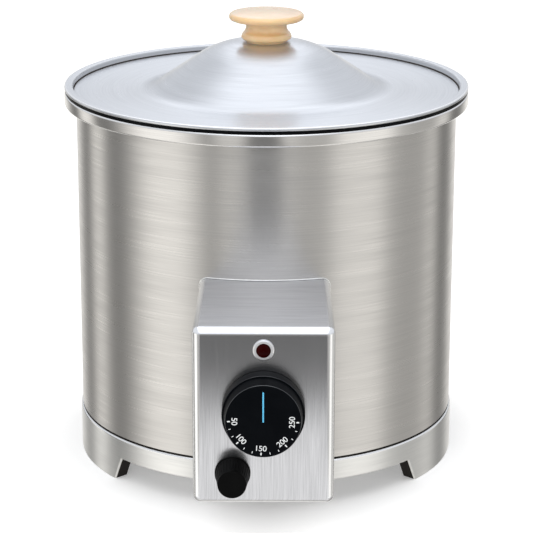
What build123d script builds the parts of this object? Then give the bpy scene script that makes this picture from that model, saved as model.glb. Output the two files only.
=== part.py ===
from build123d import *
import os
from math import asin, cos, hypot, pi, radians, sin, sqrt, tan

# Wax melting pot: a double-walled steel pot on a cast base ring, with a lift-off
# domed lid and a control box on the front. Millimetres, +Z up, control box
# towards -Y. The pieces are drawn about the pot's own axis and then moved
# together, so that the origin is on the floor, under the middle of the whole.
os.makedirs("parts", exist_ok=True)

# Clearances
play = 0.3                   # between pieces that only lie beside each other
close_play = 0.1             # between pieces pushed or bent onto each other
thread_play = 0.05           # between a screw and the thread it turns in
running_play = 0.05          # between the turning spindle and its bush

# Pan heads, as times the screw's own radius
screw_head_width = 1.9
screw_head_height = 1.3

# Outer shell, rim collar and wax pot
shell_radius = 130.0
shell_wall = 1.0
rim_top = 255.0              # height of the rim collar's top
collar_overhang = 8.0        # how far the rim collar stands out past the shell
collar_height = 8.7
collar_wall = 1.2
collar_bend = 1.6
collar_ledge = 3.2           # collar's inner edge beyond the shell's radius
jacket_width = 18.0          # from the pot's bore to the shell's outside
pot_depth = 195.0            # from the rim's top to the pot's floor
pot_wall = 1.2
pot_corner = 12.0
mouth_bend = 3.0
seal_height = 1.75
seal_inset = 0.5             # the seal's outer edge lies this far inside the collar's

# Lid
lid_wall = 0.8
lid_play = 0.4               # between the lid's step and the collar's inner edge
plate_rise = 0.1             # lid's flat plate above the collar's top
bead_height = 2.35
bead_tuck = 4.0              # width of the bead's folded-under lip
dome_height = 32.3
dome_flat = 14.0             # radius of the flat that carries the knob
dome_slope = 34.0            # degrees
dome_top_bend = 60.0
dome_foot_bend = 20.0

# Knob on the lid
knob_foot_radius = 17.2
knob_boss_radius = 13.8      # boss under the foot, which stands on the dome
knob_boss_height = 1.2
knob_foot_height = 5.6
knob_waist_radius = 14.1
knob_disc_radius = 25.6
knob_underside = 13.6        # from the foot to the underside of the knob's disc
knob_height = 19.4
knob_crown = 1.1
knob_flare_low = 1.2         # how far the waist spreads at its foot
knob_flare_high = 1.6        # and under the disc
knob_screw_radius = 2.5
knob_screw_hold = 12.0
insert_wall = 2.0
knob_washer_radius = 10.0
knob_washer_thickness = 1.5

# Cast base ring and bottom cover
base_lip = 1.1               # base ring's radius beyond the shell's
base_wall = 10.0
base_height = 30.9
base_edge = 1.3
seat_height = 1.3            # the shell stands on a seat this much above the ring's shoulder
seat_inset = 0.6             # the seat under the shell's edge lies back by this much
spigot_height = 5.8          # how far the ring reaches up inside the shell
arch_height = 16.45
arch_angle = 48.0            # half the opening's angle at its roof
arch_flare = 7.8             # how much each side of the opening leans out at the floor
arch_edge = 0.7              # rounding where the arches break through the ring's outside
ledge_width = 13.0
ledge_low = 20.0
ledge_thickness = 4.0
cover_thickness = 1.5
stud_circle = 80.0
stud_radius = 3.0
stud_count = 3
base_nut_flats = 10.0
base_nut_height = 5.0
base_washer_radius = 6.0
base_washer_thickness = 1.6
stud_end = 2.0               # stud showing past its nut

# Band heater, its clamp and the insulation
heater_low = 78.0
heater_height = 62.0
heater_thickness = 3.6
heater_gap = 24.0
ear_thickness = 1.5
ear_reach = 9.5              # how far the clamp ears stand out from the band
clamp_bolt_radius = 2.0
clamp_bolt_low = 24.0        # lower clamp bolt above the band's lower edge
clamp_bolt_high = 50.0
clamp_bolt_end = 5.0         # how far a bolt runs on past its ear
clamp_nut_flats = 7.0
clamp_nut_height = 3.2
clamp_head_height = 2.8
terminal_gap = 0.5           # between a terminal post and the clamp ear beside it
terminal_rise = 8.0
terminal_radius = 4.0
terminal_height = 4.5
terminal_pin = 4.0           # threaded pin beyond the post's insulator
terminal_lead_rise = 2.0     # lead's middle beyond the post's insulator
blanket_low = 70.0
blanket_side_gap = 1.0       # between the blanket's slot and the terminals
blanket_top_gap = 2.0
slot_head = 12.0             # blanket's front slot above the heater

# Control box
box_width = 87.0
box_back_width = 83.5
box_bottom = 42.1
box_depth = 95.0             # box front beyond the shell's front
box_bury = 25.0              # how far the box's sides would run on inside the shell
box_wall = 1.2
box_edge = 5.0
bracket_thickness = 1.5
bracket_height = 40.0
bracket_reach = 24.0
bracket_flange = 9.0         # degrees of shell covered by a bracket's welded flange
box_screw_radius = 2.0
box_screw_length = 8.0
box_screw_spacing = 24.0
box_screw_setback = 12.0     # from the bracket's front edge

# Grommet between shell and box
grommet_rise = 14.7          # wire hole above the box's bottom
grommet_bore = 6.5
grommet_neck = 8.0
grommet_radius = 10.0
grommet_lip = 2.0

# Terminal block and earth stud
block_width = 24.0
block_depth = 20.0
block_height = 16.0
block_entry_radius = 2.5
block_entry_depth = 6.0
block_edge = 1.5
block_setback = 45.0         # from the box's front to the block's middle
block_screw_radius = 1.5
earth_offset = 25.0
earth_drop = 20.5            # from the box's top
earth_radius = 2.0
earth_length = 14.0
earth_nut_flats = 7.0
earth_nut_low = 5.0          # from the shell to the nut
earth_nut_height = 3.2

# Pilot lamp
lamp_drop = 13.7             # from the box's top to the lamp
lamp_bezel_radius = 6.5
lamp_bezel_depth = 1.6
lamp_lens_radius = 4.45
lamp_lens_rise = 0.6         # lens dome beyond its bezel
lamp_wall = 0.55
lamp_length = 19.0
lamp_nut_radius = 8.0
lamp_nut_thickness = 1.5

# Thermostat and its dial
lamp_over_dial = 38.7
dial_skirt_radius = 25.4
dial_skirt_depth = 9.3
dial_skirt_step = 1.1        # body's radius less than the skirt's
dial_taper = 1.9             # face's radius less than the body's
dial_depth = 19.6
dial_edge = 0.8
dial_gap = 0.6
dial_wall = 3.0
dial_hub_radius = 6.0
spindle_radius = 3.0
spindle_flat = 1.0
spindle_hole_play = 1.5      # round the spindle in the box front
thermostat_width = 41.0
thermostat_height = 44.0
thermostat_depth = 30.0
thermostat_edge = 3.0
spindle_seat = 8.0           # from the thermostat's back to the spindle's inner end
thermostat_screw_spacing = 28.0
thermostat_screw_radius = 2.0
thermostat_screw_grip = 6.0
bulb_radius = 3.0
bulb_length = 64.0
bulb_rise = 4.0              # bulb's lower end above the heater band's lower edge
capillary_radius = 0.8
capillary_bend = 8.0
capillary_setback = 16.0     # from the box's front to the capillary
clip_wall = 0.6
clip_height = 8.0
clip_foot = 4.0

# Internal leads
lead_radius = 1.2
lead_bend = 5.0
lead_offset = 3.6            # leads beside the capillary in the grommet
lead_setback = 10.0          # heater lead behind the capillary at the thermostat
block_lead_run = 1.4         # straight end of the lead that enters the block
lamp_lead_offset = 2.5
lamp_lead_run = 7.0          # from the lamp's end to where its leads turn down

# Fuse holder
fuse_offset = 18.9
fuse_rise = 20.8             # above the box's bottom
dial_over_fuse = 41.2
fuse_flange_radius = 11.0
fuse_flange_depth = 1.8
fuse_barrel_wall = 1.65
fuse_barrel_length = 30.0
fuse_bore_play = 0.4         # between the cap's stem and the holder
fuse_end_wall = 2.0
fuse_tail_inner = 2.0
fuse_tail_thickness = 0.8
fuse_tail_width = 4.8
fuse_tail_length = 8.0
fuse_cap_radius = 8.8        # at the cap's face
fuse_cap_foot = 10.6         # cap's radius at the flange
fuse_cap_depth = 19.4        # cap's face from the box front
fuse_cap_edge = 0.6
fuse_rib_count = 30
fuse_rib_depth = 0.25        # grooves between the cap's grip ribs
fuse_rib_radius = 0.6
fuse_rib_margin = 2.2        # plain bands at both ends of the ribs
fuse_stem_wall = 1.4
fuse_stem_length = 8.0
fuse_seat_gap = 0.2
cartridge_radius = 2.5
cartridge_length = 20.0
fuse_nut_flats = 17.0
fuse_nut_height = 4.0

# Cable gland at the back
gland_rise = 20.3            # above the shell's lower edge
gland_thread_radius = 8.0
gland_flats = 20.0
gland_hex_height = 5.0
gland_collar_height = 6.0
gland_washer_radius = 9.8
gland_washer_height = 1.2
gland_locknut_height = 4.0
gland_cap_height = 15.0
gland_cap_space = 4.0        # inside the cap nut, past the seal and the collar
gland_cap_mouth = 5.0
gland_collar_recess = 1.0    # the seal's collar is thinner than the thread by this
gland_seal_depth = 3.0       # how far the seal sinks into the body's nut
lead_bore = 3.7              # radius of the mains lead that the seal grips
gland_seal_length = 8.0
gland_seal_wall = 1.8

# Sizes that follow from the ones above
shell_foot = base_height + seat_height
collar_radius = shell_radius + collar_overhang
collar_inner = shell_radius + collar_ledge
pot_bore = shell_radius - jacket_width
flange_top = rim_top - collar_wall
flange_low = flange_top - pot_wall
pot_floor = rim_top - pot_depth
pot_under = pot_floor - pot_wall
pot_outer = pot_bore + pot_wall
seal_top = rim_top + seal_height
bead_top = seal_top + bead_height
bead_bend = 0.49 * bead_height
plate_top = rim_top + plate_rise
dome_top = plate_top + dome_height
knob_foot = dome_top + knob_boss_height
step_inner = collar_inner - lid_play - lid_wall
base_radius = shell_radius + base_lip
base_inner = base_radius - base_wall
spigot_radius = shell_radius - shell_wall - close_play
ledge_inner = base_inner - ledge_width
cover_low = ledge_low - cover_thickness
stud_hole = stud_radius + play
stud_low = cover_low - base_washer_thickness - base_nut_height - stud_end
heater_inner = pot_outer + close_play
heater_outer = heater_inner + heater_thickness
blanket_inner = heater_outer + play
blanket_outer = shell_radius - shell_wall - play
terminal_offset = heater_gap / 2 + ear_thickness + terminal_gap + terminal_radius
blanket_gap = 2 * (terminal_offset + terminal_radius + blanket_side_gap)
bulb_reach = pot_outer + close_play + bulb_radius
box_front = shell_radius + box_depth
box_back = shell_radius - box_bury
box_floor = box_bottom + box_wall
fuse_height = box_bottom + fuse_rise
dial_height = fuse_height + dial_over_fuse
lamp_height = dial_height + lamp_over_dial
box_top = lamp_height + lamp_drop
box_height = box_top - box_bottom
box_middle = (box_bottom + box_top) / 2
grommet_height = box_bottom + grommet_rise
earth_height = box_top - earth_drop
block_offset = lead_offset + lead_bend + block_lead_run + block_width / 2
dial_body_radius = dial_skirt_radius - dial_skirt_step
dial_face_radius = dial_body_radius - dial_taper
dial_rim = dial_depth - dial_edge
front_piece = max(dial_depth, fuse_cap_depth)
fuse_stem_radius = cartridge_radius + play + fuse_stem_wall
fuse_bore = fuse_stem_radius + fuse_bore_play
fuse_barrel_radius = fuse_bore + fuse_barrel_wall
gland_height = shell_foot + gland_rise
gland_face = shell_radius + gland_washer_height
gland_reach = gland_face + gland_hex_height + gland_cap_height
front_reach = box_front + front_piece
frame_shift = (front_reach - gland_reach) / 2


def save(name, shape):
    """Write one piece, moved from the pot's axis to the shared origin."""
    export_step(Pos(0, frame_shift, 0) * shape, f"parts/{name}.step")


def disc(radius, low, high, hole=0.0):
    """Upright round bar or ring between two heights."""
    bar = Pos(0, 0, (low + high) / 2) * Cylinder(radius, high - low)
    if hole > 0:
        bar = bar - Pos(0, 0, (low + high) / 2) * Cylinder(hole, high - low + 2)
    return bar


def block(x_range, y_range, z_range):
    """Rectangular block between two limits along each axis."""
    size = [limits[1] - limits[0] for limits in (x_range, y_range, z_range)]
    middle = [sum(limits) / 2 for limits in (x_range, y_range, z_range)]
    return Pos(*middle) * Box(*size)


def hex_bar(flats, low, high, hole=0.0):
    """Hexagonal bar across the given flats between two heights."""
    bar = extrude(RegularPolygon(flats / 2, 6, major_radius=False), high - low)
    bar = Pos(0, 0, low) * bar
    if hole > 0:
        bar = bar - disc(hole, low - 1, high + 1)
    return bar


def turned(outline):
    """Solid turned about the Z axis from edges given as (radius, height)."""
    return revolve(Plane.XZ * make_face(outline), Axis.Z)


def crown_arc(radius, base, rise):
    """Shallow arc of a section, from its rim in to the top of a crown on the axis."""
    curve = (radius**2 + rise**2) / (2 * rise)
    half = asin(radius / curve) / 2
    middle = (curve * sin(half), base + rise - curve * (1 - cos(half)))
    return ThreePointArc((radius, base), middle, (0, base + rise))


def spun_sheet(points, bends, thickness):
    """Spun or rolled sheet whose upper, outer face follows the points."""
    face_line = FilletPolyline(*points, radius=bends).wire()
    section = Face(face_line.offset_2d(thickness, side=Side.RIGHT))
    return revolve(Plane.XZ * section, Axis.Z)


def front_at(x, z):
    """Plane on the box front at a point, facing out of the box."""
    return Plane(origin=(x, -box_front, z), x_dir=(1, 0, 0), z_dir=(0, -1, 0))


def rear_at(z):
    """Plane on the pot's axis at a height, facing the back of the pot."""
    return Plane(origin=(0, 0, z), x_dir=(-1, 0, 0), z_dir=(0, 1, 0))


def tube(points, bend, radius):
    """Round lead or tube along straight runs joined by bends."""
    route = FilletPolyline(*points, radius=bend)
    start = Plane(origin=route @ 0, z_dir=route % 0)
    return sweep(start * Circle(radius), path=route)


def around(shape, count, first_angle=0.0):
    """Copies of a shape spread evenly about the Z axis."""
    return Compound([Rot(0, 0, first_angle + 360 * i / count) * shape for i in range(count)])


def pan_screw(shank, length):
    """Pan-head screw along Z with its head resting on the plane z = 0."""
    head_radius = screw_head_width * shank
    head_height = screw_head_height * shank
    head = disc(head_radius, 0, head_height)
    head = fillet(head.edges().sort_by(Axis.Z)[-1], head_height * 0.45)
    slot = Pos(0, 0, head_height) * Box(head_radius * 2, head_radius * 0.25, head_height * 0.8)
    return head - slot + disc(shank, -length, 0)


# Wax pot: deep-drawn bowl with a flat mouth flange that the rim collar grips
def make_inner_pot():
    points = [
        (0, pot_floor),
        (pot_bore, pot_floor),
        (pot_bore, flange_top),
        (collar_radius - collar_bend, flange_top),
    ]
    return spun_sheet(points, [pot_corner, mouth_bend], pot_wall)


# Rim collar: channel rolled over the pot's flange and closed in under it
def make_rim_collar():
    points = [
        (collar_inner, rim_top),
        (collar_radius, rim_top),
        (collar_radius, rim_top - collar_height),
        (shell_radius + close_play, rim_top - collar_height),
    ]
    return spun_sheet(points, [collar_bend, collar_bend], collar_wall)


# Rim seal: flat silicone ring that the lid's bead comes down on
def make_rim_seal():
    ring = disc(collar_radius - seal_inset, rim_top, seal_top, collar_inner + play)
    return fillet(ring.edges().sort_by(Axis.Z)[-1:], seal_height * 0.3)


# Outer shell: rolled cylinder from the base ring's seat to the pot's flange
def make_outer_shell():
    shell = disc(shell_radius, shell_foot, flange_low, shell_radius - shell_wall)
    wire_hole = Plane(origin=(0, -shell_radius, grommet_height), z_dir=(0, -1, 0))
    shell = shell - wire_hole * disc(grommet_neck + close_play, -grommet_radius, grommet_radius)
    reach = (shell_radius - gland_flats / 2, shell_radius + gland_flats / 2)
    gland_hole = disc(gland_thread_radius + play, *reach)
    return shell - rear_at(gland_height) * gland_hole


# Studs welded under the pot, which pull the base ring up against the shell
def make_pot_studs():
    stud = Pos(stud_circle, 0, 0) * disc(stud_radius, stud_low, pot_under)
    return around(stud, stud_count, 90)


def stud_holes(low, high):
    hole = Pos(stud_circle, 0, 0) * disc(stud_hole, low - 1, high + 1)
    return around(hole, stud_count, 90)


# Base ring: cast wall with arches front and back, which leave a leg on each side
def arch_tool():
    reach = 2 * base_radius
    slope = tan(radians(arch_angle))
    layers = []
    for level in (-1.0, arch_height):
        lean = arch_flare * (arch_height - level) / arch_height
        apex = lean / sin(radians(arch_angle))
        corner = (reach + apex) * slope
        sides = Polyline((0, apex), (corner, -reach), (-corner, -reach), close=True)
        layers.append(Pos(0, 0, level) * make_face(sides))
    return loft(layers, ruled=True)


def arch_edges(ring):
    """Edges where the arches break through the ring's outside."""
    kept = []
    for edge in ring.edges():
        points = [edge @ share for share in (0, 0.5, 1)]
        outside = all(abs(hypot(point.X, point.Y) - base_radius) < play / 10 for point in points)
        top = max(point.Z for point in points)
        if outside and arch_edge < top < arch_height + arch_edge:
            kept.append(edge)
    return kept


def make_base_ring():
    seat = shell_radius - seat_inset
    body = disc(base_radius, 0, base_height, base_inner)
    body = fillet(body.edges().sort_by(Axis.Z)[-2:].sort_by(SortBy.RADIUS)[-1], base_edge)
    body = body + disc(seat, base_height - base_edge, shell_foot, base_inner)
    body = body + disc(spigot_radius, shell_foot, shell_foot + spigot_height, base_inner)
    body = body + disc(base_inner + 1, ledge_low, ledge_low + ledge_thickness, ledge_inner)
    arch = arch_tool()
    ring = body - arch - mirror(arch, Plane.XZ)
    return fillet(arch_edges(ring), arch_edge)


# Bottom cover: sheet disc under the ring's ledge, clamped there by the stud nuts
def make_bottom_cover():
    cover = disc(base_inner - play, cover_low, ledge_low)
    return cover - stud_holes(cover_low, ledge_low)


def make_base_washers():
    top = cover_low
    washer = disc(base_washer_radius, top - base_washer_thickness, top, stud_hole)
    return around(Pos(stud_circle, 0, 0) * washer, stud_count, 90)


def make_base_nuts():
    top = cover_low - base_washer_thickness
    nut = hex_bar(base_nut_flats, top - base_nut_height, top, stud_radius + thread_play)
    return around(Pos(stud_circle, 0, 0) * nut, stud_count, 90)


# Insulation: a slab between the cover and the pot, and a blanket round the heater
def make_insulation_slab():
    slab = disc(ledge_inner - play, ledge_low, pot_under)
    return slab - stud_holes(ledge_low, pot_under)


def make_insulation_blanket():
    blanket = disc(blanket_outer, blanket_low, flange_low - blanket_top_gap, blanket_inner)
    slot_top = heater_low + heater_height + slot_head
    slot = block((-blanket_gap / 2, blanket_gap / 2), (-shell_radius, 0), (blanket_low - 1, slot_top))
    return blanket - slot


# Band heater: split band round the pot, drawn tight by bolts through two ears
def make_heater_band():
    top = heater_low + heater_height
    band = disc(heater_outer, heater_low, top, heater_inner)
    half_gap = heater_gap / 2
    band = band - block((-half_gap, half_gap), (-shell_radius, 0), (heater_low - 1, top + 1))
    root = -sqrt(heater_outer**2 - half_gap**2) + 1
    for side in (-1, 1):
        inner_face = side * half_gap
        outer_face = side * (half_gap + ear_thickness)
        ear = block(sorted((inner_face, outer_face)), (-heater_outer - ear_reach, root), (heater_low, top))
        band = band + ear
    for rise in (clamp_bolt_low, clamp_bolt_high):
        hole = clamp_axis(rise) * Cylinder(clamp_bolt_radius + close_play, 2 * heater_gap)
        band = band - hole
    return band


def clamp_axis(rise):
    """Line of a clamp bolt, in front of the sensor bulb and across the gap."""
    reach = bulb_reach + bulb_radius + play + clamp_bolt_radius
    return Pos(0, -reach, heater_low + rise) * Rot(0, 90, 0)


def make_clamp_bolts():
    grip = heater_gap / 2 + ear_thickness
    bolt = disc(clamp_bolt_radius, -grip - clamp_bolt_end, grip)
    bolt = bolt + hex_bar(clamp_nut_flats, grip, grip + clamp_head_height)
    nut = hex_bar(clamp_nut_flats, -grip - clamp_nut_height, -grip, clamp_bolt_radius + thread_play)
    pieces = []
    for rise in (clamp_bolt_low, clamp_bolt_high):
        pieces.append(clamp_axis(rise) * bolt)
        pieces.append(clamp_axis(rise) * nut)
    return Compound(pieces)


def make_heater_terminals():
    pieces = []
    for side in (-1, 1):
        axis = Plane(
            origin=(side * terminal_offset, -heater_outer, heater_low + terminal_rise),
            z_dir=(0, -1, 0),
        )
        post = axis * disc(terminal_radius, -terminal_offset, terminal_height)
        post = post + axis * disc(terminal_radius / 2, 0, terminal_height + terminal_pin)
        pieces.append(post - disc(heater_outer + thread_play, 0, rim_top))
    return Compound(pieces)


# Control box: folded and welded sheet, open at the back, trimmed to the shell
def box_form(inset):
    """Box outline drawn in by an inset, running on into the shell at the back."""
    layers = []
    for reach, width in ((box_front - inset, box_width), (box_back, box_back_width)):
        plane = Plane(origin=(0, -reach, box_middle), x_dir=(1, 0, 0), z_dir=(0, -1, 0))
        layers.append(plane * Rectangle(width - 2 * inset, box_height - 2 * inset))
    form = loft(layers)
    kept = [edge for edge in form.edges() if edge.center().Y < -box_back - 1]
    return fillet(kept, box_edge - inset)


def make_control_box():
    box = box_form(0) - box_form(box_wall)
    box = box - disc(shell_radius + close_play, 0, rim_top)
    for place, radius in (
        (front_at(0, lamp_height), lamp_lens_radius + lamp_wall + close_play),
        (front_at(0, dial_height), spindle_radius + spindle_hole_play),
        (front_at(-fuse_offset, fuse_height), fuse_barrel_radius + close_play),
        (front_at(-thermostat_screw_spacing / 2, dial_height), thermostat_screw_radius + play),
        (front_at(thermostat_screw_spacing / 2, dial_height), thermostat_screw_radius + play),
    ):
        box = box - place * disc(radius, -2 * box_wall, box_wall)
    return box - box_screw_bores(box_screw_radius + close_play)


# Brackets: bent plates welded to the shell, which the box sides are screwed to
def bracket_front():
    return -sqrt(shell_radius**2 - (box_back_width / 2) ** 2) - bracket_reach


def box_screw_places():
    """Heights of the screws on one side of the box."""
    return [box_middle - box_screw_spacing / 2, box_middle + box_screw_spacing / 2]


def box_half_width(y):
    """Half the box's outer width at a depth."""
    share = (box_front + y) / (box_front - box_back)
    return (box_width + (box_back_width - box_width) * share) / 2


def box_screw_bores(radius):
    y = bracket_front() + box_screw_setback
    bores = [Pos(0, y, z) * Rot(0, 90, 0) * Cylinder(radius, 2 * box_width) for z in box_screw_places()]
    return Compound(bores)


def on_circle(angle, side):
    """Point well outside the shell, this many degrees from the front on one side."""
    reach = 2 * shell_radius
    return (side * reach * sin(radians(angle)), -reach * cos(radians(angle)))


def make_box_brackets():
    gap = box_wall + close_play
    plates = box_form(gap) - box_form(gap + bracket_thickness)
    reach = (bracket_front(), 0)
    levels = (box_middle - bracket_height / 2, box_middle + bracket_height / 2)
    plates = plates & block((-box_width, box_width), reach, levels)
    plates = plates - disc(shell_radius + thread_play, 0, rim_top)
    pieces = []
    for side in (-1, 1):
        half = block(sorted((0, side * box_width)), reach, levels)
        inner_corner = box_half_width(-shell_radius) - gap - bracket_thickness / 2
        edge_angle = 180 / pi * inner_corner / shell_radius
        flange = disc(shell_radius + thread_play + bracket_thickness, *levels, shell_radius + thread_play)
        corners = (on_circle(edge_angle - bracket_flange, side), on_circle(edge_angle, side))
        wedge = Polyline((0, 0), *corners, close=True)
        flange = flange & extrude(make_face(wedge), rim_top)
        flange = flange & box_form(gap)
        pieces.append((plates & half) + flange - box_screw_bores(box_screw_radius + thread_play))
    return Compound(pieces)


def make_box_screws():
    y = bracket_front() + box_screw_setback
    half = box_half_width(y)
    screw = pan_screw(box_screw_radius, box_screw_length)
    pieces = []
    for z in box_screw_places():
        for side in (-1, 1):
            pieces.append(Pos(side * (half + close_play), y, z) * Rot(0, side * 90, 0) * screw)
    return Compound(pieces)


# Grommet: rubber ring that lines the wire hole between the shell and the box
def make_wire_grommet():
    place = Plane(origin=(0, -shell_radius, grommet_height), z_dir=(0, -1, 0))
    ring = place * disc(grommet_radius, -shell_wall - grommet_lip, grommet_lip, grommet_bore)
    sheet = disc(
        shell_radius + thread_play,
        shell_foot,
        rim_top,
        shell_radius - shell_wall - thread_play,
    )
    return ring - (sheet - place * disc(grommet_neck, -grommet_radius, grommet_radius))


# Terminal block on the box floor, and the earth stud on the shell
def make_terminal_block():
    y = -box_front + block_setback
    x_range = (block_offset - block_width / 2, block_offset + block_width / 2)
    y_range = (y - block_depth / 2, y + block_depth / 2)
    body = block(x_range, y_range, (box_floor, box_floor + block_height))
    body = fillet(body.edges().filter_by(Axis.Z), block_edge)
    top = Pos(block_offset, y, box_floor + block_height)
    for x in (-block_width / 4, block_width / 4):
        body = body - top * Pos(x, 0, 0) * Cylinder(block_entry_radius, 2 * block_entry_depth)
    return body - top * Cylinder(block_screw_radius + close_play, 3 * block_height)


def make_block_screw():
    y = -box_front + block_setback
    screw = pan_screw(block_screw_radius, block_height)
    return Pos(block_offset, y, box_floor + block_height) * screw


def earth_plane():
    return Plane(origin=(-earth_offset, -shell_radius, earth_height), z_dir=(0, -1, 0))


def make_earth_stud():
    stud = earth_plane() * disc(earth_radius, -earth_length, earth_length)
    return stud - disc(shell_radius + thread_play, 0, rim_top)


def make_earth_nut():
    top = earth_nut_low + earth_nut_height
    return earth_plane() * hex_bar(earth_nut_flats, earth_nut_low, top, earth_radius + thread_play)


# Pilot lamp: bezel, lens and body pushed in from the front, held by a ring nut
def make_lamp_bezel():
    bezel = disc(lamp_bezel_radius, 0, lamp_bezel_depth, lamp_lens_radius + thread_play)
    bezel = fillet(bezel.edges().sort_by(Axis.Z)[-2:].sort_by(SortBy.RADIUS)[-1], lamp_bezel_depth * 0.5)
    return front_at(0, lamp_height) * bezel


def make_lamp_lens():
    lens = disc(lamp_lens_radius, 0, lamp_bezel_depth)
    rim = lamp_bezel_depth
    crown = turned(
        [
            Line((0, rim), (lamp_lens_radius, rim)),
            crown_arc(lamp_lens_radius, rim, lamp_lens_rise),
            Line((0, rim + lamp_lens_rise), (0, rim)),
        ]
    )
    return front_at(0, lamp_height) * (lens + crown)


def make_lamp_body():
    body = disc(lamp_lens_radius + lamp_wall, -lamp_length, 0)
    return front_at(0, lamp_height) * body


def make_lamp_nut():
    bore = lamp_lens_radius + lamp_wall + thread_play
    nut = disc(lamp_nut_radius, -box_wall - lamp_nut_thickness, -box_wall, bore)
    return front_at(0, lamp_height) * nut


# Thermostat: body behind the panel, spindle through it, dial on the spindle
def make_thermostat_body():
    back = -box_wall - thermostat_depth
    body = block(
        (-thermostat_width / 2, thermostat_width / 2),
        (-thermostat_height / 2, thermostat_height / 2),
        (back, -box_wall),
    )
    body = fillet(body.edges().filter_by(Axis.Z), thermostat_edge)
    body = body - disc(spindle_radius + running_play, back + spindle_seat, 1)
    for side in (-1, 1):
        hole = disc(thermostat_screw_radius + thread_play, -box_wall - thermostat_screw_grip - 1, 1)
        body = body - Pos(side * thermostat_screw_spacing / 2, 0, 0) * hole
    return front_at(0, dial_height) * body


def make_thermostat_screws():
    screw = pan_screw(thermostat_screw_radius, box_wall + thermostat_screw_grip)
    pieces = []
    for side in (-1, 1):
        pieces.append(front_at(side * thermostat_screw_spacing / 2, dial_height) * screw)
    return Compound(pieces)


def spindle_section(grow):
    """Round section with one flat, as the spindle and the dial's bore share."""
    reach = spindle_radius + grow
    cut = Pos(0, reach - spindle_flat + reach) * Rectangle(2 * reach, 2 * reach)
    return Circle(reach) - cut


def make_thermostat_spindle():
    inner_end = -box_wall - thermostat_depth + spindle_seat + play
    outer_end = dial_depth - dial_wall - play
    round_part = disc(spindle_radius, inner_end, dial_gap)
    flat_part = Pos(0, 0, dial_gap) * extrude(spindle_section(0), outer_end - dial_gap)
    return front_at(0, dial_height) * (round_part + flat_part)


def make_dial_knob():
    rim_radius = dial_face_radius + dial_edge
    inside = dial_depth - dial_wall
    chamfer = (dial_skirt_radius - dial_body_radius) * 0.4
    knob = turned(
        [
            Line((0, dial_depth), (dial_face_radius, dial_depth)),
            ThreePointArc(
                (dial_face_radius, dial_depth),
                (dial_face_radius + dial_edge * 0.7071, dial_depth - dial_edge * 0.2929),
                (rim_radius, dial_rim),
            ),
            Polyline(
                (rim_radius, dial_rim),
                (dial_body_radius, dial_skirt_depth),
                (dial_skirt_radius - chamfer, dial_skirt_depth),
                (dial_skirt_radius, dial_skirt_depth - chamfer),
                (dial_skirt_radius, dial_gap),
                (dial_skirt_radius - dial_wall, dial_gap),
                (dial_skirt_radius - dial_wall - 1, inside),
                (dial_hub_radius, inside),
                (dial_hub_radius, dial_gap),
                (0, dial_gap),
                (0, dial_depth),
            ),
        ]
    )
    bore = extrude(spindle_section(running_play), inside)
    return front_at(0, dial_height) * (knob - bore)


# Sensor bulb in the heater's gap, its clip, and the capillary to the thermostat
def bulb_low():
    return heater_low + bulb_rise


def make_sensor_bulb():
    bulb = disc(bulb_radius, bulb_low(), bulb_low() + bulb_length)
    bulb = fillet(bulb.edges(), bulb_radius * 0.4)
    return Pos(0, -bulb_reach, 0) * bulb


def make_bulb_clip():
    low = bulb_low() + bulb_length - 1.5 * clip_height
    bore = bulb_radius + thread_play
    ring = Pos(0, -bulb_reach, 0) * disc(bore + clip_wall, low, low + clip_height, bore)
    ring = ring - block((-shell_radius, shell_radius), (-bulb_reach, 0), (low, low + clip_height))
    pieces = ring
    for side in (-1, 1):
        foot_range = sorted((side * bore, side * (bore + clip_foot)))
        leg_range = sorted((side * bore, side * (bore + clip_wall)))
        leg = block(leg_range, (-bulb_reach, -pot_outer + 1), (low, low + clip_height))
        foot = block(foot_range, (-pot_outer - clip_wall, -pot_outer + 1), (low, low + clip_height))
        pieces = pieces + leg + foot
    return pieces - disc(pot_outer + thread_play, 0, rim_top)


def make_capillary_tube():
    y = -box_front + capillary_setback
    points = [
        (0, -bulb_reach, bulb_low()),
        (0, -bulb_reach, grommet_height),
        (0, y, grommet_height),
        (0, y, dial_height - thermostat_height / 2),
    ]
    return tube(points, capillary_bend, capillary_radius)


# Leads: heater terminals through the grommet to the thermostat and the block
def make_heater_leads():
    reach = heater_outer + terminal_height + terminal_lead_rise
    start = heater_low + terminal_rise - terminal_radius
    thermostat_foot = dial_height - thermostat_height / 2
    front = -box_front + capillary_setback + lead_setback
    block_face = -box_front + block_setback
    left = [
        (-terminal_offset, -reach, start),
        (-terminal_offset, -reach, grommet_height),
        (-lead_offset, -reach, grommet_height),
        (-lead_offset, front, grommet_height),
        (-lead_offset, front, thermostat_foot),
    ]
    right = [
        (terminal_offset, -reach, start),
        (terminal_offset, -reach, grommet_height),
        (lead_offset, -reach, grommet_height),
        (lead_offset, block_face, grommet_height),
        (block_offset - block_width / 2, block_face, grommet_height),
    ]
    return Compound([tube(points, lead_bend, lead_radius) for points in (left, right)])


def make_lamp_leads():
    start = -box_front + lamp_length
    turn = start + lamp_lead_run
    top = dial_height + thermostat_height / 2
    pieces = []
    for side in (-1, 1):
        x = side * lamp_lead_offset
        points = [(x, start, lamp_height), (x, turn, lamp_height), (x, turn, top)]
        pieces.append(tube(points, lead_bend - 1, lead_radius * 0.7))
    return Compound(pieces)


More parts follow.
